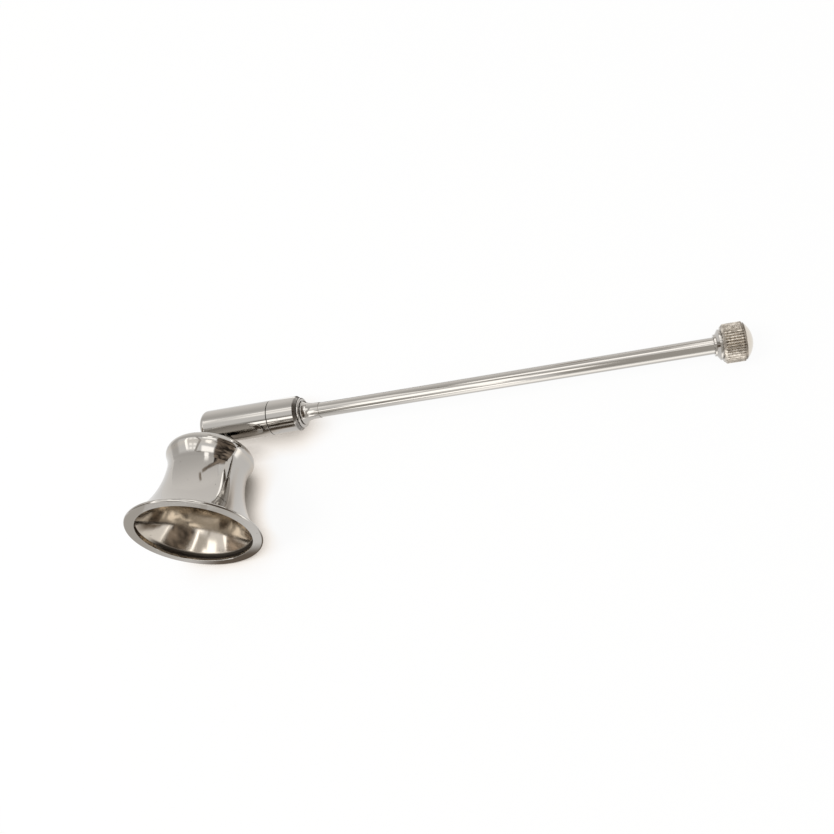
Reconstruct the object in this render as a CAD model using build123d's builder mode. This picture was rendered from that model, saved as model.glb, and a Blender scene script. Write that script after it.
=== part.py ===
"""Candle snuffer with a swinging bell on a slim straight handle.

Units are millimetres. The snuffer lies on a table at z = 0, as it does when it is put down:
the bell rests on its lip and on its shoulder, and the knob rests at the far end of the handle.
The handle points along +X and slopes down a little to the knob. The bell is square to the
handle, and its mouth faces -Y and slightly up. The origin is below the middle of the whole
snuffer, on the table.
"""
import os
from math import asin, atan2, cos, degrees, hypot, pi, radians, sin, sqrt

from build123d import *

os.makedirs("parts", exist_ok=True)

# Bell. A height is measured up its axis from the mouth, and a drop down from the crown.
mouth_radius = 20.0
bell_height = 30.0
lip_thickness = 1.0
ledge_width = 0.48
bell_wall = 0.6
edge_break = 0.15
flare_round = 1.9
waist_radius = 12.0
waist_drop = 10.0
shoulder_bulge = 1.5
shoulder_drop = 4.0
shoulder_round = 2.5

# Handle, measured along its axis from the free end of the barrel
handle_length = 165.0
barrel_radius = 5.5
barrel_length = 23.5
barrel_wall = 1.5
barrel_end_round = 1.7
seam_bevel = 0.15
pivot_inset = 3.9
crown_clearance = 3.3

# Slot in the underside of the barrel, which reaches past the pivot, and the pin that crosses it
slot_width = 5.0
slot_reach = 6.4
slot_roof = 1.5
pin_radius = 1.25
pin_blind_depth = 1.8
pin_recess = 0.2
pin_bevel = 0.2

# Hinge eye that carries the bell
eye_gap = 0.6
eye_neck_width = 4.4
eye_foot_radius = 2.8
eye_foot_height = 1.2
eye_hole_depth = 4.6

# Screw and washer inside the crown of the bell
screw_radius = 1.5
screw_head_radius = 2.75
screw_head_height = 1.6
screw_slot_width = 0.8
screw_slot_depth = 0.8
screw_end_gap = 0.3
washer_margin = 1.25
washer_thickness = 0.6

# Ferrule between the barrel and the tube
spigot_length = 7.5
spigot_hole_gap = 0.5
ferrule_length = 8.8
end_cone_length = 0.9
end_cone_drop = 0.85
face_step = 0.35
bead_round = 0.4
neck_step = 0.55
neck_bead_round = 0.3
flare_length = 5.0
flare_lip = 0.15
socket_depth = 8.0
socket_shoulder = 0.3

# Tube
tube_radius = 2.3
tube_wall = 0.5

# Collar and knob
collar_length = 2.0
collar_step = 1.2
collar_nose_step = 0.7
collar_nose_length = 0.5
collar_cone_length = 0.75
collar_groove_length = 0.4
collar_groove_depth = 0.45
knob_radius = 5.4
knurl_length = 5.4
knurl_count = 44
knurl_depth = 0.32
knurl_width_share = 0.72
knob_bevel = 0.7
dome_height = 2.5
dome_step = 0.35
dome_groove_width = 0.45
dome_groove_depth = 0.45
stud_step = 0.3
stud_plug_length = 9.0
stud_screw_length = 3.5
stud_end_gap = 0.5

# Clearances and overruns
seat_gap = 0.01
running_gap = 0.05
slot_gap = 0.2
cut_overrun = 1.0

# Heights and reaches that follow from the sizes
waist_height = bell_height - waist_drop
shoulder_height = bell_height - shoulder_drop
shoulder_radius = waist_radius + shoulder_bulge
pivot_to_crown = barrel_radius + crown_clearance
pivot_to_mouth = bell_height + pivot_to_crown

# The bell's outline is a chain of tangent arcs. Each centre is (radius, height) on the bell.
lip_round = lip_thickness / 2
lip_centre = (mouth_radius - lip_round, lip_round)
flare_centre = (lip_centre[0], lip_thickness + flare_round)
flare_run = lip_centre[0] - waist_radius
flare_rise = waist_height - flare_centre[1]
body_round = (flare_run**2 + flare_rise**2 - flare_round**2) / (2 * (flare_run - flare_round))
body_centre = (waist_radius + body_round, waist_height)
bulge_rise = shoulder_height - waist_height
waist_round = (shoulder_bulge**2 + bulge_rise**2) / (2 * shoulder_bulge) - shoulder_round
waist_centre = (waist_radius + waist_round, waist_height)
shoulder_centre = (shoulder_radius - shoulder_round, shoulder_height)
crown_round = (shoulder_centre[0]**2 + shoulder_drop**2 - shoulder_round**2) / (
    2 * (shoulder_drop - shoulder_round)
)
crown_centre = (0, bell_height - crown_round)


def bearing(start, end):
    """Angle in degrees, from 0 to 360, of the line from one centre to another."""
    return degrees(atan2(end[1] - start[1], end[0] - start[0])) % 360


flare_angle = bearing(body_centre, flare_centre)
waist_angle = bearing(waist_centre, shoulder_centre)
shoulder_angle = bearing(crown_centre, shoulder_centre)

# Inside the mouth the flare is solid. Its ledge stands where the inner wall's long arc begins.
ledge_reach = flare_round + bell_wall
ledge_radius = flare_centre[0] + ledge_reach * cos(radians(flare_angle))
counterbore_depth = flare_centre[1] + ledge_reach * sin(radians(flare_angle))
counterbore_radius = ledge_radius - ledge_width

# Resting posture. The lip and the shoulder touch the table, so the bell's axis rises to the mouth.
contact_rise = shoulder_height - lip_round
contact_run = lip_centre[0] - shoulder_centre[0]
bell_pitch = atan2(contact_run, contact_rise) + asin(
    (lip_round - shoulder_round) / hypot(contact_rise, contact_run)
)
pivot_height = (
    lip_centre[0] * cos(bell_pitch) + lip_round - (pivot_to_mouth - lip_round) * sin(bell_pitch)
)
knob_rim = handle_length - dome_height
knob_reach = knob_rim - pivot_inset
handle_pitch = asin(pivot_height / hypot(knob_reach, knob_radius)) - atan2(knob_radius, knob_reach)
bell_roll = asin(sin(bell_pitch) / cos(handle_pitch))

# Directions: along the handle to the knob, square up from it, out of the mouth, and along the pin
along = Vector(cos(handle_pitch), 0, -sin(handle_pitch))
upward = Vector(sin(handle_pitch), 0, cos(handle_pitch))
mouthward = upward * sin(bell_roll) - Vector(0, cos(bell_roll), 0)
pinward = along.cross(mouthward)

# The whole snuffer's reach from the pivot, which puts the origin in the middle of its base
lip_offset = mouthward * (pivot_to_mouth - lip_round)
lip_reach_x = lip_centre[0] * sqrt(1 - mouthward.X**2) + lip_round
lip_reach_y = lip_centre[0] * sqrt(1 - mouthward.Y**2) + lip_round
dome_radius = knob_radius - dome_step
dome_round = (dome_radius**2 + dome_height**2) / (2 * dome_height)
low_x = lip_offset.X - lip_reach_x
high_x = (handle_length - pivot_inset - dome_round) * cos(handle_pitch) + dome_round
low_y = lip_offset.Y - lip_reach_y
high_y = barrel_radius
pivot = Vector(-(low_x + high_x) / 2, -(low_y + high_y) / 2, pivot_height)
free_end = pivot - along * pivot_inset
mouth_centre = pivot + mouthward * pivot_to_mouth

# Planes and axes that carry the sketches
handle_side = Plane(origin=free_end, x_dir=along, z_dir=Vector(0, -1, 0))
handle_axis = Axis(free_end, along)
handle_end = Plane(origin=free_end, x_dir=-upward, z_dir=along)
bell_side = Plane(origin=mouth_centre, x_dir=along, z_dir=-pinward)
bell_axis = Axis(mouth_centre, -mouthward)
bell_mouth = Plane(origin=mouth_centre, x_dir=along, z_dir=-mouthward)
pivot_side = Plane(origin=pivot, x_dir=along, z_dir=-pinward)
slot_view = Plane(origin=pivot, x_dir=along, z_dir=mouthward)
pin_view = Plane(origin=pivot, x_dir=along, z_dir=pinward)


def arc(centre, radius, start, end):
    """Arc about a centre from one angle in degrees to another."""
    return CenterArc(centre, radius, start, end - start)


# Crown of the bell, where the screw passes
screw_hole_radius = screw_radius + running_gap
washer_radius = screw_head_radius + washer_margin
crown_inside_round = crown_round - bell_wall
washer_seat = crown_centre[1] + sqrt(crown_inside_round**2 - washer_radius**2)

# The bell is one thin turned shell with a flat lip, a waist, a round shoulder and a low crown
with BuildPart() as bell:
    with BuildSketch(bell_side):
        with BuildLine():
            Polyline((0, bell_height), (0, 0), (lip_centre[0], 0))
            arc(lip_centre, lip_round, -90, 90)
            arc(flare_centre, flare_round, 270, flare_angle)
            arc(body_centre, body_round, flare_angle, 180)
            arc(waist_centre, waist_round, 180, waist_angle)
            arc(shoulder_centre, shoulder_round, waist_angle - 180, shoulder_angle)
            arc(crown_centre, crown_round, shoulder_angle, 90)
        make_face()
    revolve(axis=bell_axis)
    with BuildSketch(bell_side):
        with BuildLine():
            Polyline(
                (0, bell_height - bell_wall),
                (0, 0),
                (counterbore_radius, 0),
                (counterbore_radius, counterbore_depth),
                (ledge_radius, counterbore_depth),
            )
            arc(body_centre, body_round + bell_wall, flare_angle, 180)
            arc(waist_centre, waist_round + bell_wall, 180, waist_angle)
            arc(shoulder_centre, shoulder_round - bell_wall, waist_angle - 180, shoulder_angle)
            arc(crown_centre, crown_inside_round, shoulder_angle, 90)
        make_face()
    revolve(axis=bell_axis, mode=Mode.SUBTRACT)
    rings = bell.edges().filter_by(GeomType.CIRCLE).filter_by(lambda ring: ring.is_closed)
    mouth_rings = rings.filter_by(lambda ring: abs(ring.radius - counterbore_radius) < edge_break)
    fillet(mouth_rings, edge_break)
    with BuildSketch(bell_mouth):
        Circle(screw_hole_radius)
    extrude(amount=bell_height + cut_overrun, mode=Mode.SUBTRACT)
bell.part.label = "bell"

# The hinge eye is a flat ear on a round foot that stands on the crown
eye_radius = barrel_radius - slot_roof - eye_gap
eye_thickness = slot_width - 2 * slot_gap
eye_foot = Plane(origin=pivot + mouthward * pivot_to_crown, x_dir=along, z_dir=-mouthward)
with BuildPart() as hinge_eye:
    with BuildSketch(pivot_side):
        Circle(eye_radius)
        with Locations((0, -pivot_to_crown / 2)):
            Rectangle(eye_neck_width, pivot_to_crown)
    extrude(amount=eye_thickness / 2, both=True)
    with BuildSketch(eye_foot):
        Circle(eye_foot_radius)
    extrude(amount=eye_foot_height)
    with BuildSketch(pivot_side):
        Circle(pin_radius + running_gap)
    extrude(amount=eye_thickness, both=True, mode=Mode.SUBTRACT)
    with BuildSketch(eye_foot):
        Circle(screw_radius + seat_gap)
    extrude(amount=eye_hole_depth, mode=Mode.SUBTRACT)
hinge_eye.part.label = "hinge_eye"

# A washer and a slotted screw hold the eye from inside the crown
washer_face = Plane(origin=mouth_centre - mouthward * washer_seat, x_dir=along, z_dir=mouthward)
with BuildPart() as crown_washer:
    with BuildSketch(washer_face):
        Circle(washer_radius)
        Circle(screw_hole_radius, mode=Mode.SUBTRACT)
    extrude(amount=washer_thickness)
crown_washer.part.label = "crown_washer"

head_face = washer_face.offset(washer_thickness)
screw_length = bell_height - washer_seat + washer_thickness + eye_hole_depth - screw_end_gap
with BuildPart() as crown_screw:
    with BuildSketch(head_face):
        Circle(screw_head_radius)
    extrude(amount=screw_head_height)
    fillet(crown_screw.faces().sort_by(Axis(mouth_centre, mouthward))[-1].edges(), screw_head_height / 2)
    with BuildSketch(head_face.offset(screw_head_height)):
        Rectangle(2 * screw_head_radius + cut_overrun, screw_slot_width)
    extrude(amount=-screw_slot_depth, mode=Mode.SUBTRACT)
    with BuildSketch(head_face):
        Circle(screw_radius)
    extrude(amount=-screw_length)
crown_screw.part.label = "crown_screw"

# The barrel holds the eye in a slot that is open below and at the free end
spigot_radius = barrel_radius - barrel_wall
spigot_hole_depth = spigot_length + spigot_hole_gap
slot_length = pivot_inset + slot_reach
slot_round = slot_width / 2
pin_end_depth = barrel_radius - pin_recess
with BuildPart() as head_barrel:
    with BuildSketch(handle_side):
        with BuildLine():
            Polyline(
                (barrel_end_round, barrel_radius),
                (barrel_length - seam_bevel, barrel_radius),
                (barrel_length, barrel_radius - seam_bevel),
                (barrel_length, spigot_radius + seat_gap),
                (barrel_length - spigot_hole_depth, spigot_radius + seat_gap),
                (barrel_length - spigot_hole_depth, 0),
                (0, 0),
                (0, barrel_radius - barrel_end_round),
            )
            arc((barrel_end_round, barrel_radius - barrel_end_round), barrel_end_round, 180, 90)
        make_face()
    revolve(axis=handle_axis)
    with BuildSketch(slot_view.offset(slot_roof - barrel_radius)):
        with Locations((slot_reach - slot_round, 0)):
            Circle(slot_round)
            Rectangle(slot_length + cut_overrun, slot_width, align=(Align.MAX, Align.CENTER))
    extrude(amount=2 * barrel_radius - slot_roof + cut_overrun, mode=Mode.SUBTRACT)
    with BuildSketch(pin_view.offset(-slot_round - pin_blind_depth)):
        Circle(pin_radius + seat_gap)
    extrude(amount=slot_round + pin_blind_depth + barrel_radius + cut_overrun, mode=Mode.SUBTRACT)
head_barrel.part.label = "head_barrel"

# The pivot pin goes in from below and stops short of the top side, where it doesn't show
pin_length = slot_round + pin_blind_depth - seat_gap + pin_end_depth
with BuildPart() as pivot_pin:
    with BuildSketch(pin_view.offset(pin_end_depth - pin_length)):
        Circle(pin_radius)
    extrude(amount=pin_length)
    chamfer(pivot_pin.faces().filter_by(GeomType.PLANE).edges(), pin_bevel)
pivot_pin.part.label = "pivot_pin"

# The ferrule screws into the barrel and carries the tube in a socket
ferrule_end = barrel_length + ferrule_length
face_radius = barrel_radius - end_cone_drop
face_place = ferrule_end + end_cone_length
bead_radius = face_radius - face_step
bead_place = face_place + bead_round
neck_bead_radius = bead_radius - neck_step
neck_bead_place = bead_place + bead_round + neck_bead_round
flare_start = neck_bead_place + neck_bead_round
flare_end = flare_start + flare_length
flare_tip_radius = tube_radius + flare_lip
spigot_bore_radius = tube_radius - socket_shoulder
with BuildPart() as ferrule:
    with BuildSketch(handle_side):
        with BuildLine():
            Polyline(
                (face_place, bead_radius),
                (face_place, face_radius),
                (ferrule_end, barrel_radius),
                (barrel_length + seam_bevel, barrel_radius),
                (barrel_length, barrel_radius - seam_bevel),
                (barrel_length, spigot_radius),
                (barrel_length - spigot_length, spigot_radius),
                (barrel_length - spigot_length, spigot_bore_radius),
                (flare_end - socket_depth, spigot_bore_radius),
                (flare_end - socket_depth, tube_radius + seat_gap),
                (flare_end, tube_radius + seat_gap),
                (flare_end, flare_tip_radius),
            )
            Spline(
                (flare_end, flare_tip_radius),
                (flare_start, neck_bead_radius - neck_bead_round),
                tangents=((-1, 0), (-1, 1)),
            )
            arc((neck_bead_place, neck_bead_radius - neck_bead_round), neck_bead_round, 0, 180)
            Line(
                (neck_bead_place - neck_bead_round, neck_bead_radius - neck_bead_round),
                (bead_place + bead_round, bead_radius),
            )
            arc((bead_place, bead_radius), bead_round, 0, 180)
        make_face()
    revolve(axis=handle_axis)
ferrule.part.label = "ferrule"

# The tube runs from the ferrule's socket to the knob
collar_end = knob_rim - knurl_length
tube_start = flare_end - socket_depth
with BuildPart() as handle_tube:
    with BuildSketch(handle_end.offset(tube_start)):
        Circle(tube_radius)
        Circle(tube_radius - tube_wall, mode=Mode.SUBTRACT)
    extrude(amount=collar_end - tube_start)
handle_tube.part.label = "handle_tube"

# The collar is a ring on the tube, with a short nose, a coned face and a groove beside the knob
collar_start = collar_end - collar_length
collar_bore = tube_radius + seat_gap
collar_radius = knob_radius - collar_step
collar_nose_radius = tube_radius + collar_nose_step
nose_end = collar_start + collar_nose_length
with BuildPart() as knob_collar:
    with BuildSketch(handle_side):
        with BuildLine():
            Polyline(
                (nose_end, collar_nose_radius),
                (nose_end + collar_cone_length, collar_radius),
                (collar_end - collar_groove_length, collar_radius),
                (collar_end - collar_groove_length, collar_radius - collar_groove_depth),
                (collar_end, collar_radius - collar_groove_depth),
                (collar_end, collar_bore),
                (collar_start, collar_bore),
                (collar_start, collar_nose_radius),
                close=True,
            )
        make_face()
    revolve(axis=handle_axis)
knob_collar.part.label = "knob_collar"

# The knob is knurled along its side, with a groove and a low dome at the end
dome_groove_radius = dome_radius - dome_groove_depth
dome_start = knob_rim + dome_groove_width
dome_rise = handle_length - dome_start
dome_centre = dome_start + (dome_rise**2 - dome_radius**2) / (2 * dome_rise)
dome_arc_radius = handle_length - dome_centre
dome_edge_angle = degrees(atan2(dome_radius, dome_start - dome_centre))
stud_plug_radius = tube_radius - tube_wall - seat_gap
stud_radius = tube_radius - tube_wall - stud_step
stud_hole_depth = stud_screw_length + stud_end_gap
knurl_angle = 360 / knurl_count
knurl_half_width = knurl_width_share * pi * knob_radius / knurl_count
with BuildPart() as knob:
    with BuildSketch(handle_side):
        with BuildLine():
            Polyline(
                (dome_start, dome_radius),
                (dome_start, dome_groove_radius),
                (knob_rim, dome_groove_radius),
                (knob_rim, knob_radius),
                (collar_end + knob_bevel, knob_radius),
                (collar_end, knob_radius - knob_bevel),
                (collar_end, stud_radius + seat_gap),
                (collar_end + stud_hole_depth, stud_radius + seat_gap),
                (collar_end + stud_hole_depth, 0),
                (handle_length, 0),
            )
            arc((dome_centre, 0), dome_arc_radius, 0, dome_edge_angle)
        make_face()
    revolve(axis=handle_axis)
    with BuildSketch(handle_end.offset(collar_end)):
        with PolarLocations(knob_radius, knurl_count, start_angle=knurl_angle / 2):
            Polygon(
                (-knurl_depth, 0),
                (knurl_depth, 2 * knurl_half_width),
                (knurl_depth, -2 * knurl_half_width),
                align=None,
            )
    extrude(amount=knurl_length, mode=Mode.SUBTRACT)
knob.part.label = "knob"

# The stud is pressed into the tube's end and screwed into the knob
with BuildPart() as knob_stud:
    with BuildSketch(handle_end.offset(collar_end - stud_plug_length)):
        Circle(stud_plug_radius)
    extrude(amount=stud_plug_length)
    with BuildSketch(handle_end.offset(collar_end)):
        Circle(stud_radius)
    extrude(amount=stud_screw_length)
knob_stud.part.label = "knob_stud"

for piece in (
    bell,
    hinge_eye,
    crown_washer,
    crown_screw,
    head_barrel,
    pivot_pin,
    ferrule,
    handle_tube,
    knob_collar,
    knob,
    knob_stud,
):
    export_step(piece.part, f"parts/{piece.part.label}.step")

print("bell pitch", round(degrees(bell_pitch), 3), "handle pitch", round(degrees(handle_pitch), 3))
print("pivot", pivot, "pin axis", pinward, "mouth", mouthward)
print("mouth centre", mouth_centre, "along", along)
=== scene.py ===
# %% [markdown]
# # A candle snuffer, dressed in Blender
# The snuffer lies on a pale table: a small turned bell swings under the slotted end of a barrel,
# and a slim tube runs from the barrel to a knurled knob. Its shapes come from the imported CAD
# model, so this lesson is about light, camera and metal finishes. Everything is in metres.

# %% Tools
import math

import bmesh
import bpy
from mathutils import Matrix, Vector

print("Blender", bpy.app.version_string)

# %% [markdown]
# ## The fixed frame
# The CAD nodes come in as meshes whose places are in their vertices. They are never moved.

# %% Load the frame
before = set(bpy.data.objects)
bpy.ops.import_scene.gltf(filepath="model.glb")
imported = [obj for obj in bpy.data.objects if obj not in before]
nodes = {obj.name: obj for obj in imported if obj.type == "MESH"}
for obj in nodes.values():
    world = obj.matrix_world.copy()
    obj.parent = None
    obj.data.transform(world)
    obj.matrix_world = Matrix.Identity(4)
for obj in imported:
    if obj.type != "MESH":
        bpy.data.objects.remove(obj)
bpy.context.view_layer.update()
print("nodes:", ", ".join(sorted(nodes)))

# %% [markdown]
# ## Camera
# The photograph looks down on the snuffer from above its mouth side, with the camera turned so
# that the handle climbs to the right. The place, the aim and the turn were worked out from the
# outlines of the bell, the barrel, the tube and the knob.

# %% Camera
CAMERA_PLACE = Vector((0.061865469, -0.077418367, 0.212621484))
CAMERA_AIM = Vector((-0.283869, 0.380893, -0.879965))
CAMERA_UP = Vector((0.158565, 0.92373, 0.348685))
CAMERA_LENS = 33.9693
SENSOR_WIDTH = 36.0


def aimed(place, aim, up):
    """Matrix of a camera or a lamp at a place, looking along aim, as upright as can be."""
    back = -aim.normalized()
    right = up.cross(back).normalized()
    turn = Matrix((right, back.cross(right), back)).transposed()
    return Matrix.Translation(place) @ turn.to_4x4()


camera_data = bpy.data.cameras.new("camera")
camera_data.lens = CAMERA_LENS
camera_data.sensor_width = SENSOR_WIDTH
camera_data.clip_start = 0.01
camera_data.clip_end = 20.0
camera = bpy.data.objects.new("camera", camera_data)
bpy.context.scene.collection.objects.link(camera)
camera.matrix_world = aimed(CAMERA_PLACE, CAMERA_AIM, CAMERA_UP)
bpy.context.scene.camera = camera
print("camera", [round(x, 4) for x in CAMERA_PLACE], "lens", CAMERA_LENS)

# %% [markdown]
# ## Helpers for node trees
# Every finish here is a small tree of nodes. These helpers add a node, feed its sockets and name
# the few sums that come back again and again, so that the cells below read like a recipe.

# %% Node helpers
NODE_COLUMNS = 8
NODE_STEP = (220, -260)


def node(tree, kind, inputs=None, **settings):
    """Add a node to a tree, with its settings and the values or links of its inputs."""
    row, column = divmod(len(tree.nodes), NODE_COLUMNS)
    made = tree.nodes.new(kind)
    made.location = (column * NODE_STEP[0], row * NODE_STEP[1])
    for name, value in settings.items():
        setattr(made, name, value)
    for name, value in (inputs or {}).items():
        feed(tree, made.inputs[name], value)
    return made


def feed(tree, socket, value):
    """Link an output to an input, or write a plain value in it."""
    if isinstance(value, bpy.types.NodeSocket):
        tree.links.new(value, socket)
    else:
        socket.default_value = value


def calc(tree, operation, *terms, clamp=False):
    """A Math node on outputs or plain numbers."""
    made = node(tree, "ShaderNodeMath", operation=operation, use_clamp=clamp)
    for socket, term in zip(made.inputs, terms):
        feed(tree, socket, term)
    return made.outputs[0]


def vector_calc(tree, operation, *terms):
    """A Vector Math node on outputs or plain vectors, with the output that it uses."""
    made = node(tree, "ShaderNodeVectorMath", operation=operation)
    for socket, term in zip(made.inputs, terms):
        feed(tree, socket, term)
    return made.outputs["Value" if operation == "DOT_PRODUCT" else "Vector"]


def ramp(tree, value, low, high, to_low=0.0, to_high=1.0):
    """A smooth step of a value from one level to another."""
    made = node(tree, "ShaderNodeMapRange", interpolation_type="SMOOTHSTEP",
                inputs={"Value": value, "From Min": low, "From Max": high,
                        "To Min": to_low, "To Max": to_high})
    return made.outputs["Result"]


def blend(tree, share, first, second):
    """A colour between two colours. The Mix node has its colours at these numbered sockets."""
    made = node(tree, "ShaderNodeMix", {0: share, 6: first, 7: second}, data_type="RGBA")
    return made.outputs[2]


def seen_or_mirrored(tree):
    """1 for rays from the camera and for mirrored or refracted ones, 0 for the rest."""
    path = node(tree, "ShaderNodeLightPath")
    some = calc(tree, "ADD", path.outputs["Is Camera Ray"], path.outputs["Is Glossy Ray"])
    return calc(tree, "ADD", some, path.outputs["Is Transmission Ray"], clamp=True)


def bare_tree(owner):
    """The emptied node tree of a material or a world."""
    owner.use_nodes = True
    owner.node_tree.nodes.clear()
    return owner.node_tree


print("node helpers: node, feed, calc, vector_calc, ramp, blend, seen_or_mirrored, bare_tree")


# %% [markdown]
# ## A white surround
# The photograph's background is plain white. The world is white where the camera or a mirror sees
# it, and gives only a soft light to everything else, so the table keeps a faint shadow.

# %% World
bpy.context.scene.view_settings.view_transform = "Standard"
SOFT_LIGHT = 0.72
WHITE = (1.0, 1.0, 1.0, 1.0)
world = bpy.data.worlds.new("studio")
bpy.context.scene.world = world
tree = bare_tree(world)
soft = node(tree, "ShaderNodeBackground", {"Color": WHITE, "Strength": SOFT_LIGHT})
seen = node(tree, "ShaderNodeBackground", {"Color": WHITE, "Strength": 1.0})
mixed = node(tree, "ShaderNodeMixShader",
             {0: seen_or_mirrored(tree), 1: soft.outputs[0], 2: seen.outputs[0]})
node(tree, "ShaderNodeOutputWorld", {"Surface": mixed.outputs[0]})
print("world: 1.0 where seen or mirrored,", SOFT_LIGHT, "as light")

# %% [markdown]
# ## The table
# A paper-white table carries the snuffer. A pure emission would be white but lose the shadow, so
# most of its colour is emission and the rest is an ordinary pale surface that the lamp lights. By
# the barrel and the bell the photograph has a warm brown shade. Ambient occlusion gives it: a wide
# pale tint, and a narrow dark shade where the metal touches. It fades out towards the tube, under
# which the photograph shows none. A camera below the table looks through it, so that the snuffer
# can be seen from there too.

# %% Table
TABLE_HALF = 3.0
TABLE_WHITE = (0.93, 0.925, 0.91, 1.0)
TABLE_TINT = (0.93, 0.86, 0.79, 1.0)
TABLE_SHADE = (0.10, 0.085, 0.065, 1.0)
TABLE_GLOW_SHARE = 0.93
SHADE_REACH = 0.009
SHADE_ENDS = (-0.046, -0.030)
TINT_OPENNESS = (0.98, 0.6)
SHADE_OPENNESS = (0.73, 0.22)


def staged(name, shape, material):
    """An object made of a bmesh, with its material, that belongs to the studio."""
    mesh = bpy.data.meshes.new(name)
    shape.to_mesh(mesh)
    shape.free()
    mesh.materials.append(material)
    made = bpy.data.objects.new(name, mesh)
    bpy.context.scene.collection.objects.link(made)
    return made


paper = bpy.data.materials.new("table_paper")
tree = bare_tree(paper)
pale = node(tree, "ShaderNodeBsdfDiffuse", {"Color": TABLE_WHITE})
closed = node(tree, "ShaderNodeAmbientOcclusion", {"Distance": SHADE_REACH}, samples=12)
spot = node(tree, "ShaderNodeTexCoord").outputs["Object"]
along = node(tree, "ShaderNodeSeparateXYZ", {0: spot}).outputs["X"]
near_bell = ramp(tree, along, SHADE_ENDS[1], SHADE_ENDS[0])
tinted = calc(tree, "MULTIPLY", ramp(tree, closed.outputs["AO"], *TINT_OPENNESS), near_bell)
shaded = calc(tree, "MULTIPLY", ramp(tree, closed.outputs["AO"], *SHADE_OPENNESS), near_bell)
colour = blend(tree, shaded, blend(tree, tinted, WHITE, TABLE_TINT), TABLE_SHADE)
glow = node(tree, "ShaderNodeEmission", {"Color": colour, "Strength": 1.0})
share = calc(tree, "MULTIPLY", seen_or_mirrored(tree), TABLE_GLOW_SHARE)
paper_top = node(tree, "ShaderNodeMixShader", {0: share, 1: pale.outputs[0], 2: glow.outputs[0]})
from_below = calc(tree, "MULTIPLY", node(tree, "ShaderNodeNewGeometry").outputs["Backfacing"],
                  node(tree, "ShaderNodeLightPath").outputs["Is Camera Ray"])
see_through = node(tree, "ShaderNodeBsdfTransparent")
mixed = node(tree, "ShaderNodeMixShader",
             {0: from_below, 1: paper_top.outputs[0], 2: see_through.outputs[0]})
node(tree, "ShaderNodeOutputMaterial", {"Surface": mixed.outputs[0]})
shape = bmesh.new()
bmesh.ops.create_grid(shape, x_segments=1, y_segments=1, size=TABLE_HALF)
staged("table", shape, paper)
print("table:", 2 * TABLE_HALF, "m square")

# %% [markdown]
# ## Soft lamp
# One broad lamp stands for the window at the left. It only gives the soft shadow on the table.
# What the metal mirrors is set by the cards in the next cells.

# %% Lamp
LAMP_PLACE = Vector((-0.55, -0.15, 0.9))
LAMP_SIZE = 0.5
LAMP_POWER = 5.0
LAMP_COLOUR = (1.0, 0.97, 0.93)
lamp_data = bpy.data.lights.new("window_lamp", "AREA")
lamp_data.shape = "SQUARE"
lamp_data.size = LAMP_SIZE
lamp_data.energy = LAMP_POWER
lamp_data.color = LAMP_COLOUR
lamp = bpy.data.objects.new("window_lamp", lamp_data)
lamp.matrix_world = aimed(LAMP_PLACE, -LAMP_PLACE, Vector((0, 1, 0)))
lamp.visible_glossy = False
bpy.context.scene.collection.objects.link(lamp)
print("lamp:", LAMP_POWER, "W over", LAMP_SIZE, "m")

# %% [markdown]
# ## Reflection cards
# Polished metal shows nothing of its own. It shows the room. A photographer places white and dark
# cards round it, and the same is done here. The cards hang on a dome over the snuffer. Each is
# given by its middle and its size in degrees from straight up: first towards the knob, then away
# from the mouth. Its edges fade, and some cards are mottled by a noise, like a cluttered room.
# Cards are seen only in the metal, not by the camera, and they give the table no light.

# %% Card maker
CARD_STEPS = 16
MOTTLE_SCALE = 4.0
MOTTLE_STRETCH = (0.5, 1.5, 1.0)
MOTTLE_RANGE = (0.35, 0.7)


def card_material(name, colour, strength, soft, mottle):
    """Light of one colour that fades at the card's edges and may be mottled by a noise."""
    made = bpy.data.materials.new(name)
    tree = bare_tree(made)
    place = node(tree, "ShaderNodeUVMap")
    split = node(tree, "ShaderNodeSeparateXYZ", {0: place.outputs[0]})
    fades = []
    for axis, edge in zip("XY", soft):
        away = calc(tree, "ABSOLUTE", calc(tree, "SUBTRACT", split.outputs[axis], 0.5))
        fades.append(ramp(tree, away, 0.5, 0.5 - edge))
    light = strength
    if mottle:
        drawn = vector_calc(tree, "MULTIPLY", place.outputs[0], MOTTLE_STRETCH)
        clutter = node(tree, "ShaderNodeTexNoise", {"Vector": drawn, "Scale": MOTTLE_SCALE,
                                                    "Detail": 2.0, "Distortion": 0.6})
        light = ramp(tree, clutter.outputs[0], *MOTTLE_RANGE, strength * (1 - mottle),
                     strength * (1 + 2 * mottle))
    glow = node(tree, "ShaderNodeEmission", {"Color": (*colour, 1), "Strength": light})
    clear = node(tree, "ShaderNodeBsdfTransparent")
    mixed = node(tree, "ShaderNodeMixShader", {0: calc(tree, "MULTIPLY", *fades),
                                               1: clear.outputs[0], 2: glow.outputs[0]})
    node(tree, "ShaderNodeOutputMaterial", {"Surface": mixed.outputs[0]})
    return made


def on_dome(across, along, distance):
    """Point of the dome at two angles in degrees from straight up."""
    turn = math.atan2(along, across)
    lean = math.radians(math.hypot(across, along))
    return distance * Vector((math.sin(lean) * math.cos(turn), math.sin(lean) * math.sin(turn),
                              math.cos(lean)))


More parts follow.
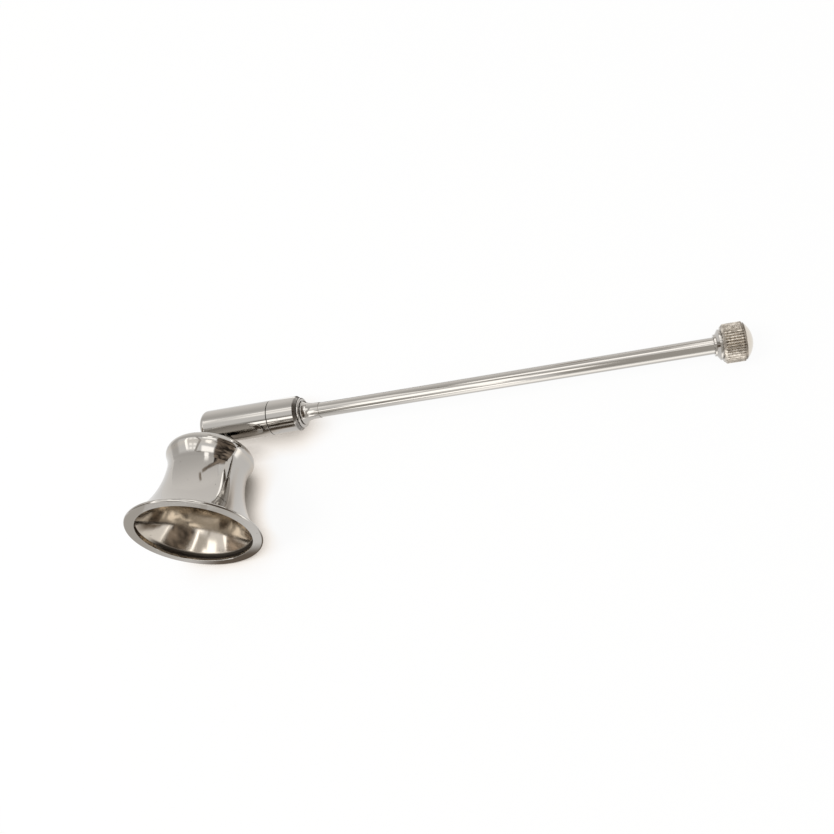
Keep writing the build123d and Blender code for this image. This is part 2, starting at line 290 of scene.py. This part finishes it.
def flat_card(name, middle, size, turn, material, bend):
    """A grid card, scaled, turned and moved, and then bent by a rule for its points."""
    panel = bmesh.new()
    panel.loops.layers.uv.new("place")
    bmesh.ops.create_grid(panel, x_segments=CARD_STEPS, y_segments=CARD_STEPS, size=0.5,
                          calc_uvs=True)
    bmesh.ops.scale(panel, vec=(size[0], size[1], 1), verts=panel.verts)
    bmesh.ops.rotate(panel, cent=(0, 0, 0), matrix=Matrix.Rotation(math.radians(turn), 3, "Z"),
                     verts=panel.verts)
    bmesh.ops.translate(panel, vec=(middle[0], middle[1], 0), verts=panel.verts)
    for v in panel.verts:
        v.co = bend(v.co)
    made = staged(name, panel, material)
    made.visible_camera = False
    made.visible_diffuse = False
    made.visible_shadow = False
    return made


def card(name, middle, size, colour, strength, soft, turn, distance, mottle=0.0):
    """A card on the dome, turned by some degrees about its middle."""
    return flat_card(name, middle, size, turn, card_material(name, colour, strength, soft, mottle),
                     lambda p: on_dome(p.x, p.y, distance))


print("card helpers: card_material, on_dome, flat_card, card")

# %% [markdown]
# The cards follow the room that the photograph shows in the metal: a bright window at the left
# with its panes and bars, pale walls that end at a bright horizon, a lamp and its arm overhead,
# and a dark brown room at the right. Nearer cards hide the ones behind them. Each line gives the
# name, the middle, the size, the colour, the strength of the light, the share of the card over
# which its edges fade, the turn in degrees, the distance in metres and, on a few, the mottle.

# %% Cards
DARK_BROWN = (1.0, 0.82, 0.66)
TAN_GREY = (1.0, 0.965, 0.91)
WARM_GREY = (1.0, 0.985, 0.965)
WINDOW_WHITE = (1.0, 0.995, 0.98)

card("room_wall", (-25, 67), (160, 86), WARM_GREY, 0.70, (0.06, 0.14), 0, 0.95)
card("horizon_glow", (-25, 84), (160, 100), WARM_GREY, 1.06, (0.06, 0.5), 0, 0.94)
card("left_wall", (-72, 16), (34, 50), WARM_GREY, 0.70, (0.3, 0.3), 0, 0.93)
card("front_gloom", (-46, -50.5), (66, 69), TAN_GREY, 0.36, (0.1, 0.17), 0, 0.93, 0.5)
card("side_window", (-60, -74), (14, 34), WINDOW_WHITE, 2.0, (0.25, 0.2), -15, 0.9)
card("left_slit", (-52, -6), (8, 20), WINDOW_WHITE, 2.0, (0.35, 0.35), 0, 0.9)
card("left_strip", (-42, -25), (9, 108), WINDOW_WHITE, 2.3, (0.3, 0.08), -10, 0.88)
card("dark_room", (67, 18), (64, 82), DARK_BROWN, 0.16, (0.05, 0.06), 0, 0.7, 0.8)
card("dark_beam", (33, 57), (60, 8), DARK_BROWN, 0.26, (0.1, 0.35), -15, 0.65, 0.4)
card("dark_post", (2, 71), (8, 16), DARK_BROWN, 0.30, (0.35, 0.3), -8, 0.65)
card("ceiling_light", (17.5, 41), (16, 24), WINDOW_WHITE, 2.1, (0.3, 0.25), 0, 0.85)
card("ceiling_lamp", (17, -4), (20, 11), WINDOW_WHITE, 2.1, (0.3, 0.35), 0, 0.85)
card("near_light", (9.5, 20), (40, 25), WINDOW_WHITE, 2.1, (0.16, 0.3), 0, 0.27)
card("window_glow", (-20, 15), (38, 34), WINDOW_WHITE, 1.3, (0.35, 0.35), 0, 0.82)
card("lamp_rim", (0, 31), (26, 7), TAN_GREY, 0.45, (0.2, 0.4), 0, 0.7)
card("lamp_arm", (-8, 11), (8, 46), TAN_GREY, 0.5, (0.35, 0.1), 17, 0.74)
for k, (x, y) in enumerate(((-26, 9), (-15, 9), (-26, 20), (-15, 20))):
    card("window_pane_%d" % k, (x, y), (10, 10), WINDOW_WHITE, 1.8, (0.3, 0.35), 6, 0.78)
card("window_high", (-12, -27), (20, 34), WINDOW_WHITE, 2.3, (0.15, 0.12), 0, 0.8)
card("window_side", (-0.5, -33), (12, 25), WINDOW_WHITE, 2.3, (0.4, 0.25), 0, 0.79)
card("window_wide", (-33, -31), (26, 13), WINDOW_WHITE, 2.3, (0.1, 0.15), 0, 0.28)
card("grey_bar", (-31, -51), (18, 22), TAN_GREY, 0.75, (0.15, 0.25), 0, 0.78)
card("grey_sill", (-14, -63), (18, 13), TAN_GREY, 0.75, (0.15, 0.35), 0, 0.77)
card("bright_line", (-36, -48.5), (7, 4.5), WINDOW_WHITE, 2.3, (0.3, 0.35), 0, 0.44)
card("dark_bar", (-34, -45), (14, 9), TAN_GREY, 0.35, (0.2, 0.3), 0, 0.45)
card("window_slit", (-8, -48), (4.5, 24), WINDOW_WHITE, 2.1, (0.3, 0.1), 0, 0.75)
card("window_low", (-19, -85), (28, 30), WINDOW_WHITE, 2.4, (0.12, 0.12), 0, 0.8)
card("photographer", (24, -45), (54, 82), TAN_GREY, 0.6, (0.06, 0.1), 0, 0.85)
card("photographer_edge", (3, -70), (14, 14), TAN_GREY, 0.46, (0.3, 0.4), 0, 0.84)
card("photographer_core", (56, -36), (56, 64), DARK_BROWN, 0.16, (0.08, 0.1), 0, 0.75, 0.7)
card("bright_gap", (21, -22), (7, 40), WINDOW_WHITE, 2.6, (0.3, 0.2), 0, 0.7)
card("dark_door", (-66, -20), (54, 22), DARK_BROWN, 0.30, (0.06, 0.1), 17, 0.85, 0.5)

# %% [markdown]
# ## Light and shade on the table
# The table is not evenly lit. Beside the tube it lies in the window's full light, brighter than
# the camera can show, and the metal shows hard white lines low on the tube. Before the mouth the
# table is in shade, which greys the lip. On the bell's flank the photograph has a dark streak with
# a white one beside it. A dark and a bright sheet behind the snuffer give them. All these sheets
# lie just over the table. Their places and sizes are in metres, and a higher layer covers a lower
# one.

# %% Light and shade on the table
SHEET_HEIGHT = 0.00015


def sheet(name, middle, size, colour, strength, soft, layer=1, turn=0.0):
    """A glowing sheet that lies on the table and is seen only in the metal."""
    return flat_card(name, middle, size, turn, card_material(name, colour, strength, soft, 0),
                     lambda p: Vector((p.x, p.y, layer * SHEET_HEIGHT)))


sheet("lit_table", (0.055, -0.045), (0.16, 0.115), WINDOW_WHITE, 1.9, (0.25, 0.08))
sheet("shaded_table", (-0.17, -0.19), (0.22, 0.34), TAN_GREY, 0.66, (0.15, 0.06))
sheet("front_table", (0.15, -0.30), (0.55, 0.50), TAN_GREY, 0.72, (0.1, 0.1))
sheet("table_behind", (-0.20, 0.63), (1.80, 1.16), WARM_GREY, 1.02, (0.03, 0.015))
sheet("handle_shade", (0.035, 0.091), (0.22, 0.016), DARK_BROWN, 0.12, (0.06, 0.3), 2, 37)
sheet("handle_gleam", (0.026, 0.103), (0.22, 0.014), WINDOW_WHITE, 2.2, (0.06, 0.3), 2, 37)
sheet("mouth_shade", (-0.062, -0.023), (0.05, 0.018), DARK_BROWN, 0.2, (0.3, 0.3), 2)

# %% [markdown]
# ## Effects shared by the finishes
# Real plating is never perfect. Each effect below is a small node group with named inputs and
# outputs, so that one effect can serve several metals. Lengths in the coordinates are in metres,
# so a scale of 1000 is one feature a millimetre.

# %% Group maker
FLOAT, VECTOR = "NodeSocketFloat", "NodeSocketVector"


def new_group(name, inputs, outputs):
    """A shader node group, with the sockets through which it takes and gives its values."""
    tree = bpy.data.node_groups.new(name, "ShaderNodeTree")
    for label, kind, value in inputs:
        socket = tree.interface.new_socket(name=label, in_out="INPUT", socket_type=kind)
        if value is not None:
            socket.default_value = value
    for label in outputs:
        tree.interface.new_socket(name=label, in_out="OUTPUT", socket_type=FLOAT)
    given = node(tree, "NodeGroupInput").outputs
    return tree, given, node(tree, "NodeGroupOutput").inputs


def use(tree, group, output, **inputs):
    """Add a group to a material and return one of its outputs."""
    return node(tree, "ShaderNodeGroup", inputs, node_tree=group).outputs[output]


print("group helpers: new_group, use")

# %% [markdown]
# **Hair scratches** come from wiping and from other cutlery in the drawer. A noise stretched
# thirty times in one direction has long thin level lines. Three such layers at odd angles are
# laid over each other and broken up by a coarser noise.

# %% Hair scratches
hair_scratches, given, result = new_group(
    "hair_scratches", (("Vector", VECTOR, None), ("Fineness", FLOAT, 150.0)), ("Mask",))
SCRATCH_STRETCH = 30.0
SCRATCH_AXIS = (0.35, 0.25, 0.9)
SCRATCH_ANGLES = (0.4, 1.5, 2.6)
SCRATCH_EDGES = (0.012, 0.002)
SPOT_FINENESS = 1.3
tree = hair_scratches
layers = []
for angle in SCRATCH_ANGLES:
    turned = node(tree, "ShaderNodeVectorRotate", rotation_type="AXIS_ANGLE",
                  inputs={"Vector": given["Vector"], "Axis": SCRATCH_AXIS, "Angle": angle})
    drawn = vector_calc(tree, "MULTIPLY", turned.outputs[0],
                        (1, SCRATCH_STRETCH, SCRATCH_STRETCH))
    lines = node(tree, "ShaderNodeTexNoise", {"Vector": drawn, "Scale": given["Fineness"]})
    away = calc(tree, "ABSOLUTE", calc(tree, "SUBTRACT", lines.outputs[0], 0.5))
    spot_scale = calc(tree, "MULTIPLY", given["Fineness"], SPOT_FINENESS)
    spots = node(tree, "ShaderNodeTexNoise", {"Vector": turned.outputs[0], "Scale": spot_scale})
    broken = ramp(tree, spots.outputs[0], 0.52, 0.62)
    layers.append(calc(tree, "MULTIPLY", ramp(tree, away, *SCRATCH_EDGES), broken))
most = calc(tree, "MAXIMUM", layers[0], layers[1])
feed(tree, result["Mask"], calc(tree, "MAXIMUM", most, layers[2]))
print("hair_scratches:", len(tree.nodes), "nodes")

# %% [markdown]
# **Smudges** are left by fingers. They hardly change the colour of a metal, but they make it
# duller in soft patches.

# %% Smudges
smudges, given, result = new_group(
    "smudges", (("Vector", VECTOR, None), ("Fineness", FLOAT, 120.0)), ("Mask",))
patches = node(smudges, "ShaderNodeTexNoise", {"Vector": given["Vector"], "Detail": 4.0,
                                               "Scale": given["Fineness"], "Distortion": 0.8})
feed(smudges, result["Mask"], ramp(smudges, patches.outputs[0], 0.42, 0.72))
print("smudges:", len(smudges.nodes), "nodes")

# %% [markdown]
# **Turning marks** are the fine rings that the lathe tool leaves. Their height changes only along
# the axis, so a one-dimensional noise of the distance along that axis is enough.

# %% Turning marks
turning_marks, given, result = new_group(
    "turning_marks", (("Vector", VECTOR, None), ("Axis", VECTOR, (1.0, 0.0, 0.0)),
                      ("Fineness", FLOAT, 4000.0)), ("Height",))
along = vector_calc(turning_marks, "DOT_PRODUCT", given["Vector"], given["Axis"])
rings = node(turning_marks, "ShaderNodeTexNoise", noise_dimensions="1D",
             inputs={"W": calc(turning_marks, "MULTIPLY", along, given["Fineness"]), "Scale": 1.0,
                     "Detail": 3.0})
feed(turning_marks, result["Height"], rings.outputs[0])
print("turning_marks:", len(turning_marks.nodes), "nodes")

# %% [markdown]
# **Plating waves**: a cast or drawn surface that is polished by hand is never quite true. Slow
# waves of a few thousandths of a millimetre bend the mirrored lines.

# %% Plating waves
plating_waves, given, result = new_group(
    "plating_waves", (("Vector", VECTOR, None), ("Fineness", FLOAT, 260.0)), ("Height",))
swell = node(plating_waves, "ShaderNodeTexNoise", {"Vector": given["Vector"], "Detail": 2.0,
                                                   "Scale": given["Fineness"]})
feed(plating_waves, result["Height"], swell.outputs[0])
print("plating_waves:", len(plating_waves.nodes), "nodes")

# %% [markdown]
# **Pits** are pinholes of the casting that the plating did not fill. Only some cells of the
# pattern get one.

# %% Pits
pits, given, result = new_group(
    "pits", (("Vector", VECTOR, None), ("Fineness", FLOAT, 500.0)), ("Mask",))
PIT_EDGES = (0.11, 0.05)
PIT_CHOICE = (0.80, 0.84)
cells = node(pits, "ShaderNodeTexVoronoi", {"Vector": given["Vector"], "Scale": given["Fineness"]})
cell_colour = node(pits, "ShaderNodeSeparateColor", {0: cells.outputs["Color"]})
hole = ramp(pits, cells.outputs["Distance"], *PIT_EDGES)
feed(pits, result["Mask"],
     calc(pits, "MULTIPLY", hole, ramp(pits, cell_colour.outputs[0], *PIT_CHOICE)))
print("pits:", len(pits.nodes), "nodes")

# %% [markdown]
# **Worn edges**: plating is thinnest and most rubbed on the corners. The Bevel node gives the
# normal of an edge as if it were rounded. Where that differs from the real normal, there is an
# edge.

# %% Worn edges
worn_edges, given, result = new_group(
    "worn_edges", (("Vector", VECTOR, None), ("Radius", FLOAT, 0.00015)), ("Mask",))
rounded = node(worn_edges, "ShaderNodeBevel", {"Radius": given["Radius"]}, samples=6)
real = node(worn_edges, "ShaderNodeNewGeometry")
same = vector_calc(worn_edges, "DOT_PRODUCT", rounded.outputs[0], real.outputs["Normal"])
uneven = node(worn_edges, "ShaderNodeTexNoise", {"Vector": given["Vector"], "Scale": 900.0,
                                                 "Detail": 3.0})
feed(worn_edges, result["Mask"],
     calc(worn_edges, "MULTIPLY", ramp(worn_edges, same, 0.995, 0.9),
          ramp(worn_edges, uneven.outputs[0], 0.35, 0.6, 0.4, 1.0)))
print("worn_edges:", len(worn_edges.nodes), "nodes")

# %% [markdown]
# ** Crevice grime and shade**: polish and dust stay where a cloth does not reach, and light hardly
# reaches there either. Ambient occlusion measures how closed in a point is within a short reach,
# and
# the colour is darkened there: grime with painted shade.

# %% Crevice grime and shade
crevice_grime_and_shade, given, result = new_group(
    "crevice_grime_and_shade", (("Vector", VECTOR, None), ("Reach", FLOAT, 0.0008)), ("Mask",))
closed = node(crevice_grime_and_shade, "ShaderNodeAmbientOcclusion", {"Distance": given["Reach"]}, samples=8)
dust = node(crevice_grime_and_shade, "ShaderNodeTexNoise", {"Vector": given["Vector"], "Scale": 1500.0,
                                                  "Detail": 3.0})
# The mask darkens closed-in points: grime together with painted shade.
feed(crevice_grime_and_shade, result["Mask"],
     calc(crevice_grime_and_shade, "MULTIPLY", ramp(crevice_grime_and_shade, closed.outputs["AO"], 0.72, 0.3),
          ramp(crevice_grime_and_shade, dust.outputs[0], 0.3, 0.6, 0.55, 1.0)))
print("groups:", ", ".join(g.name for g in bpy.data.node_groups))

# %% [markdown]
# ## Start of a metal
# Every metal starts in the same way: the object's own coordinates, which stay with a piece when it
# swings, a Principled shader that is fully metallic, one roughness to which each mask adds its
# part, and one bump for all its relief.

# %% Metal maker
CHROME = (0.475, 0.453, 0.425)
WORN_CHROME = (0.41, 0.375, 0.33)
NICKEL = (0.70, 0.645, 0.57)
# The dark of grime, pinholes and painted shade in crevices.
GRIME_AND_SHADE = (0.030, 0.024, 0.018)
BUMP_REACH = 0.00001


def start_metal(name):
    """A material with its coordinates, its shader and its tree."""
    made = bpy.data.materials.new(name)
    tree = bare_tree(made)
    place = node(tree, "ShaderNodeTexCoord")
    shader = node(tree, "ShaderNodeBsdfPrincipled", {"Metallic": 1.0})
    node(tree, "ShaderNodeOutputMaterial", {"Surface": shader.outputs[0]})
    return made, tree, place.outputs, shader


def add_up(tree, *parts):
    """Sum of outputs, each with its own factor."""
    total = None
    for value, factor in parts:
        part = calc(tree, "MULTIPLY", value, factor)
        total = part if total is None else calc(tree, "ADD", total, part)
    return total


def dullness(tree, shader, clean, *parts):
    """Roughness of the clean metal, and what each mask adds to it."""
    feed(tree, shader.inputs["Roughness"], calc(tree, "ADD", add_up(tree, *parts), clean))


def relief(tree, shader, *parts):
    """Bump of a sum of heights in hundredths of a millimetre."""
    bump = node(tree, "ShaderNodeBump", {"Distance": BUMP_REACH, "Strength": 1.0,
                                         "Height": add_up(tree, *parts)})
    feed(tree, shader.inputs["Normal"], bump.outputs[0])


def dress(material, *names):
    """Give a material to CAD nodes through their own slots."""
    for name in names:
        for slot in nodes[name].material_slots:
            slot.link = "OBJECT"
            slot.material = material
    print(material.name, "on", ", ".join(names))


print("metal helpers: start_metal, add_up, dullness, relief, dress")

# %% [markdown]
# ## Chrome on the cast barrel, the ferrule and the collar
# Chrome over nickel over cast zinc. It mirrors almost sharply. The casting shows in slow waves and
# a few pinholes, and the corners are a little rubbed. The seam between barrel and ferrule is
# darkened with grime and painted shade, and so is the recess between the ferrule's beads, in uneven
# patches. Both are found from the distance along the handle.

# %% Cast chrome
PIVOT = Vector((-0.0706542, 0.0184545, 0.0100324))
HANDLE_ALONG = Vector((0.999573, 0.0, -0.029223))
SEAM_ALONG = 0.0196
SEAM_EDGES = (0.00016, 0.00007)
RECESS_ALONG = 0.02895
RECESS_EDGES = (0.0006, 0.0003)
RECESS_FILM = (0.6, 0.3)
cast_chrome, tree, place, shader = start_metal("cast_chrome")
spot = place["Object"]
scratches = use(tree, hair_scratches, "Mask", Vector=spot, Fineness=170.0)
dull = use(tree, smudges, "Mask", Vector=spot, Fineness=150.0)
holes = use(tree, pits, "Mask", Vector=spot, Fineness=700.0)
edges = use(tree, worn_edges, "Mask", Vector=spot, Radius=0.00015)
grime_and_shade = use(tree, crevice_grime_and_shade, "Mask", Vector=spot, Reach=0.0004)
waves = use(tree, plating_waves, "Height", Vector=spot, Fineness=300.0)
along = vector_calc(tree, "DOT_PRODUCT", vector_calc(tree, "SUBTRACT", spot, PIVOT), HANDLE_ALONG)
# Painted shade, with grime, at the seam and in the recess between the beads.
off_seam = calc(tree, "ABSOLUTE", calc(tree, "SUBTRACT", along, SEAM_ALONG))
grime_and_shade = calc(tree, "MAXIMUM", grime_and_shade, ramp(tree, off_seam, *SEAM_EDGES))
off_recess = calc(tree, "ABSOLUTE", calc(tree, "SUBTRACT", along, RECESS_ALONG))
film = use(tree, smudges, "Mask", Vector=spot, Fineness=900.0)
film = ramp(tree, film, 0.0, 1.0, *RECESS_FILM)
grime_and_shade = calc(tree, "MAXIMUM", grime_and_shade,
             calc(tree, "MULTIPLY", ramp(tree, off_recess, *RECESS_EDGES), film))
colour = blend(tree, edges, (*CHROME, 1), (*WORN_CHROME, 1))
colour = blend(tree, calc(tree, "MAXIMUM", grime_and_shade, calc(tree, "MULTIPLY", holes, 0.8)), colour,
               (*GRIME_AND_SHADE, 1))
feed(tree, shader.inputs["Base Color"], colour)
dullness(tree, shader, 0.045, (dull, 0.05), (scratches, 0.12), (edges, 0.12), (grime_and_shade, 0.5))
relief(tree, shader, (waves, 0.6), (scratches, -0.02), (holes, -1.0))
dress(cast_chrome, "head_barrel", "ferrule", "knob_collar")

# %% [markdown]
# ## Chrome on the drawn tube
# The tube is drawn through a ring before it is plated, so its marks run along it. The noise is
# stretched along the tube, and the slow waves are long.

# %% Drawn chrome
drawn_chrome, tree, place, shader = start_metal("drawn_chrome")
spot = place["Object"]
DRAW_STRETCH = (0.012, 1.0, 1.0)
WAVE_STRETCH = (0.18, 1.0, 1.0)
drawn = vector_calc(tree, "MULTIPLY", spot, DRAW_STRETCH)
draw_lines = node(tree, "ShaderNodeTexNoise", {"Vector": drawn, "Scale": 3200.0, "Detail": 3.0})
drawn = vector_calc(tree, "MULTIPLY", spot, WAVE_STRETCH)
long_waves = node(tree, "ShaderNodeTexNoise", {"Vector": drawn, "Scale": 320.0, "Detail": 1.0})
scratches = use(tree, hair_scratches, "Mask", Vector=spot, Fineness=150.0)
dull = use(tree, smudges, "Mask", Vector=spot, Fineness=110.0)
edges = use(tree, worn_edges, "Mask", Vector=spot, Radius=0.00012)
grime_and_shade = use(tree, crevice_grime_and_shade, "Mask", Vector=spot, Reach=0.0007)
colour = blend(tree, edges, (*CHROME, 1), (*WORN_CHROME, 1))
feed(tree, shader.inputs["Base Color"], blend(tree, grime_and_shade, colour, (*GRIME_AND_SHADE, 1)))
dullness(tree, shader, 0.03, (dull, 0.05), (scratches, 0.1), (draw_lines.outputs[0], 0.03),
         (grime_and_shade, 0.5))
relief(tree, shader, (long_waves.outputs[0], 0.5), (draw_lines.outputs[0], 0.06),
       (scratches, -0.02))
dress(drawn_chrome, "handle_tube")

# %% [markdown]
# ## The bell: chrome outside, nickel inside
# Chrome hardly plates into a hollow, so the outside is grey chrome and the inside shows the warm
# nickel below it, still with the rings of the lathe. Which side a point is on is found from its
# normal: outside it points away from the bell's axis, inside towards it or towards the mouth.
# Just inside the lip, where the wall faces up, a dark band of painted shade is laid on the colour.

# %% Bell plate
MOUTH = Vector((-0.0703766, -0.0191643, 0.0195292))
MOUTHWARD = Vector((0.007156, -0.969557, 0.244763))
INSIDE_NICKEL = (0.58, 0.525, 0.455)
INSIDE_DEPTH = (-0.0004, -0.0008)
FACES_AXIS = (-0.05, -0.2)
FACES_MOUTH = (0.3, 0.6)
LIP_SHADE_SHARE = 0.94
LIP_SHADE_DEPTH = (-0.0027, -0.0021)
LIP_SHADE_FACES_UP = (0.1, 0.45)
bell_plate, tree, place, shader = start_metal("bell_plate")
spot = place["Object"]
from_mouth = vector_calc(tree, "SUBTRACT", spot, MOUTH)
depth = vector_calc(tree, "DOT_PRODUCT", from_mouth, MOUTHWARD)
on_axis = node(tree, "ShaderNodeVectorMath", {0: MOUTHWARD, "Scale": depth}, operation="SCALE")
outward = vector_calc(tree, "SUBTRACT", from_mouth, on_axis.outputs["Vector"])
facing = vector_calc(tree, "DOT_PRODUCT", vector_calc(tree, "NORMALIZE", outward), place["Normal"])
mouthward = vector_calc(tree, "DOT_PRODUCT", place["Normal"], MOUTHWARD)
deep = ramp(tree, depth, *INSIDE_DEPTH)
hollow = calc(tree, "MAXIMUM", ramp(tree, facing, *FACES_AXIS), ramp(tree, mouthward, *FACES_MOUTH))
inside = calc(tree, "MULTIPLY", hollow, deep)
upward = node(tree, "ShaderNodeSeparateXYZ", {0: place["Normal"]}).outputs["Z"]
# Painted shade: a dark band just inside the lip, on the wall that faces up.
lip_shade = calc(tree, "MULTIPLY", ramp(tree, upward, *LIP_SHADE_FACES_UP), ramp(tree, depth, *LIP_SHADE_DEPTH))
lip_shade = calc(tree, "MULTIPLY", calc(tree, "MULTIPLY", lip_shade, inside), LIP_SHADE_SHARE)
scratches = use(tree, hair_scratches, "Mask", Vector=spot, Fineness=160.0)
dull = use(tree, smudges, "Mask", Vector=spot, Fineness=130.0)
holes = use(tree, pits, "Mask", Vector=spot, Fineness=600.0)
edges = use(tree, worn_edges, "Mask", Vector=spot, Radius=0.00015)
grime_and_shade = use(tree, crevice_grime_and_shade, "Mask", Vector=spot, Reach=0.0007)
rings = use(tree, turning_marks, "Height", Vector=spot, Axis=MOUTHWARD, Fineness=2600.0)
waves = use(tree, plating_waves, "Height", Vector=spot, Fineness=210.0)
colour = blend(tree, inside, (*CHROME, 1), (*INSIDE_NICKEL, 1))
colour = blend(tree, edges, colour, (*WORN_CHROME, 1))
grime_and_shade = calc(tree, "MAXIMUM", grime_and_shade, lip_shade)
colour = blend(tree, calc(tree, "MAXIMUM", grime_and_shade, calc(tree, "MULTIPLY", holes, 0.7)), colour,
               (*GRIME_AND_SHADE, 1))
feed(tree, shader.inputs["Base Color"], colour)
dullness(tree, shader, 0.045, (dull, 0.05), (scratches, 0.12), (edges, 0.1), (grime_and_shade, 0.5),
         (inside, 0.07))
relief(tree, shader, (waves, 0.9), (scratches, -0.02), (holes, -0.8),
       (calc(tree, "MULTIPLY", rings, inside), 0.12))
dress(bell_plate, "bell")

# %% [markdown]
# ## Nickel on the knurled knob
# The knob is turned and knurled brass with a nickel plate, warmer than chrome. The cloth polishes
# its dome. The knurl keeps a brown film in uneven patches. The ring groove under the dome is the
# darkest, with painted shade. Where these begin is found from the distance along the handle.

# %% Knob nickel
WORN_NICKEL = (0.72, 0.67, 0.59)
KNURL_FILM_AND_SHADE = (0.19, 0.16, 0.13)
FILM_SHARES = (0.15, 0.75)
GROOVE_ALONG = 0.15860
GROOVE_EDGES = (0.0006, 0.0003)
KNURL_FADE = 0.0004
knob_nickel, tree, place, shader = start_metal("knob_nickel")
spot = place["Object"]
scratches = use(tree, hair_scratches, "Mask", Vector=spot, Fineness=220.0)
dull = use(tree, smudges, "Mask", Vector=spot, Fineness=300.0)
edges = use(tree, worn_edges, "Mask", Vector=spot, Radius=0.00012)
grime_and_shade = use(tree, crevice_grime_and_shade, "Mask", Vector=spot, Reach=0.0005)
along = vector_calc(tree, "DOT_PRODUCT", vector_calc(tree, "SUBTRACT", spot, PIVOT), HANDLE_ALONG)
off_groove = calc(tree, "ABSOLUTE", calc(tree, "SUBTRACT", along, GROOVE_ALONG))
# Painted shade in the ring groove under the dome.
groove_shade = ramp(tree, off_groove, *GROOVE_EDGES)
knurl = ramp(tree, along, GROOVE_ALONG, GROOVE_ALONG - KNURL_FADE)
film = node(tree, "ShaderNodeTexNoise", {"Vector": spot, "Scale": 900.0, "Detail": 4.0,
                                         "Distortion": 1.0})
film = ramp(tree, film.outputs[0], 0.35, 0.62, *FILM_SHARES)
# The knurl's brown film, with painted shade in the groove and in the crevices.
dirt_and_shade = calc(tree, "MAXIMUM", calc(tree, "MULTIPLY", groove_shade, 0.9),
             calc(tree, "MAXIMUM", grime_and_shade, calc(tree, "MULTIPLY", film, knurl)))
colour = blend(tree, dirt_and_shade, (*NICKEL, 1), (*KNURL_FILM_AND_SHADE, 1))
feed(tree, shader.inputs["Base Color"], blend(tree, edges, colour, (*WORN_NICKEL, 1)))
dullness(tree, shader, 0.08, (dull, 0.12), (scratches, 0.1), (dirt_and_shade, 0.3))
relief(tree, shader, (dull, 0.15), (film, 0.4), (scratches, -0.03))
dress(knob_nickel, "knob")

# %% [markdown]
# ## Plated steel for the small parts
# The ear, the pin, the screw, the washer and the stud are plain steel parts with a thin zinc
# plate: duller, with the rings of the lathe and no polish at all.

# %% Plated steel
PLATED = (0.50, 0.49, 0.47)
WORN_PLATED = (0.60, 0.58, 0.55)
plated_steel, tree, place, shader = start_metal("plated_steel")
spot = place["Object"]
scratches = use(tree, hair_scratches, "Mask", Vector=spot, Fineness=300.0)
dull = use(tree, smudges, "Mask", Vector=spot, Fineness=400.0)
edges = use(tree, worn_edges, "Mask", Vector=spot, Radius=0.0001)
grime_and_shade = use(tree, crevice_grime_and_shade, "Mask", Vector=spot, Reach=0.0006)
rings = use(tree, turning_marks, "Height", Vector=spot, Axis=MOUTHWARD, Fineness=6000.0)
colour = blend(tree, edges, (*PLATED, 1), (*WORN_PLATED, 1))
feed(tree, shader.inputs["Base Color"], blend(tree, grime_and_shade, colour, (*GRIME_AND_SHADE, 1)))
dullness(tree, shader, 0.2, (dull, 0.12), (scratches, 0.1), (grime_and_shade, 0.4))
relief(tree, shader, (rings, 0.1), (scratches, -0.03))
dress(plated_steel, "hinge_eye", "pivot_pin", "crown_screw", "crown_washer", "knob_stud")
